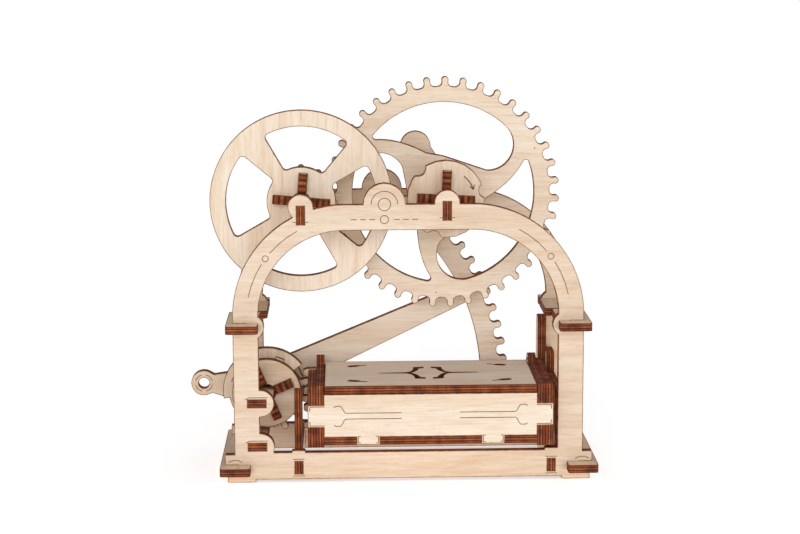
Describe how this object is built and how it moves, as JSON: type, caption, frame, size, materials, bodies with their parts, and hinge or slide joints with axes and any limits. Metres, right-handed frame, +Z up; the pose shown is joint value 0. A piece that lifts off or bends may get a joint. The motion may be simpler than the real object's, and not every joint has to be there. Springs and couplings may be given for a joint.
{
  "type": "mechanical keepsake box",
  "caption": "Hand-cranked plywood keepsake box: a lever's toothed sector spins a large gear and a flywheel in an arched stand, and a rack lifts a small lidded box.",
  "frame": {"origin": "middle of the whole object's outline, on the surface it stands on", "axes": "+Z up, +X to the right seen from the front, +Y towards the back"},
  "size_m": [0.1543, 0.063, 0.1502],
  "materials": {
    "birch_frame": "bare birch plywood, laser-cut, with charred edges",
    "birch_sheet": "bare birch plywood, laser-cut, with charred edges",
    "birch_wheel": "bare birch plywood, laser-cut, with charred edges",
    "birch_panel": "bare birch plywood, laser-cut, with charred edges",
    "birch_teeth": "bare birch plywood, laser-cut, with charred edges",
    "birch_strip": "bare birch plywood, laser-cut, with charred edges"
  },
  "bodies": {
    "stand": {"front_frame": "birch_frame", "rear_frame": "birch_frame", "left_foot_plate": "birch_wheel", "right_foot_plate": "birch_wheel", "front_left_cap": "birch_wheel", "front_right_cap": "birch_wheel", "rear_left_cap": "birch_wheel", "rear_right_cap": "birch_wheel", "left_side_plate": "birch_sheet", "right_side_plate": "birch_sheet", "right_guard_plate": "birch_sheet", "flywheel_axle": "birch_strip", "gear_axle": "birch_strip", "lever_axle": "birch_strip", "stop_strip": "birch_strip"},
    "flywheel_body": {"flywheel": "birch_wheel", "flywheel_spacer_disc": "birch_sheet", "flywheel_pinion": "birch_teeth", "flywheel_rear_disc": "birch_sheet", "flywheel_key_1": "birch_strip", "flywheel_key_2": "birch_strip", "flywheel_key_3": "birch_strip", "flywheel_key_4": "birch_strip"},
    "gear_body": {"large_gear": "birch_wheel", "gear_front_disc": "birch_sheet", "gear_lobe_plate": "birch_sheet", "sector_pinion": "birch_teeth", "gear_key_1": "birch_strip", "gear_key_2": "birch_strip", "gear_key_3": "birch_strip", "gear_key_4": "birch_strip"},
    "lever_body": {"lever_front_disc": "birch_sheet", "lift_gear": "birch_teeth", "lever_handle": "birch_sheet", "sector_arm": "birch_wheel", "lever_rear_disc": "birch_sheet", "lever_tie_pins": "birch_strip", "lever_key_1": "birch_strip", "lever_key_2": "birch_strip", "lever_key_3": "birch_strip", "lever_key_4": "birch_strip"},
    "box_body": {"box_bottom": "birch_sheet", "box_front_panel": "birch_panel", "box_rear_panel": "birch_panel", "box_left_outer_wall": "birch_sheet", "box_left_inner_wall": "birch_sheet", "box_right_inner_wall": "birch_sheet", "box_right_outer_wall": "birch_sheet", "box_rack": "birch_teeth"},
    "lid_body": {"lid": "birch_panel"}
  },
  "joints": [
    {"name": "gear_spin", "type": "hinge", "parent": "stand", "child": "gear_body", "pos_m": [0.02055, 0.0015, 0.1057], "axis": [0, -1, 0], "range_deg": [-462, 0]},
    {"name": "lever_turn", "type": "hinge", "parent": "stand", "child": "lever_body", "pos_m": [-0.04775, 0.0015, 0.0304], "axis": [0, -1, 0], "range_deg": [0, 44]},
    {"name": "flywheel_spin", "type": "hinge", "parent": "stand", "child": "flywheel_body", "pos_m": [-0.03358, 0.0015, 0.1044], "axis": [0, -1, 0], "range_deg": [0, 1801.8]},
    {"name": "box_lift", "type": "slide", "parent": "stand", "child": "box_body", "axis": [0, 0, 1], "range_m": [0, 0.01188]},
    {"name": "lid_hinge", "type": "hinge", "parent": "box_body", "child": "lid_body", "pos_m": [0.01415, 0.0085, 0.0374], "axis": [-1, 0, 0], "range_deg": [0, 48]}
  ],
  "couplings": [
    {"joint": "lever_turn", "follows": "gear_spin", "ratio": -0.095238},
    {"joint": "flywheel_spin", "follows": "gear_spin", "ratio": -3.9},
    {"joint": "box_lift", "follows": "gear_spin", "m_per_rad": -0.0014733}
  ]
}
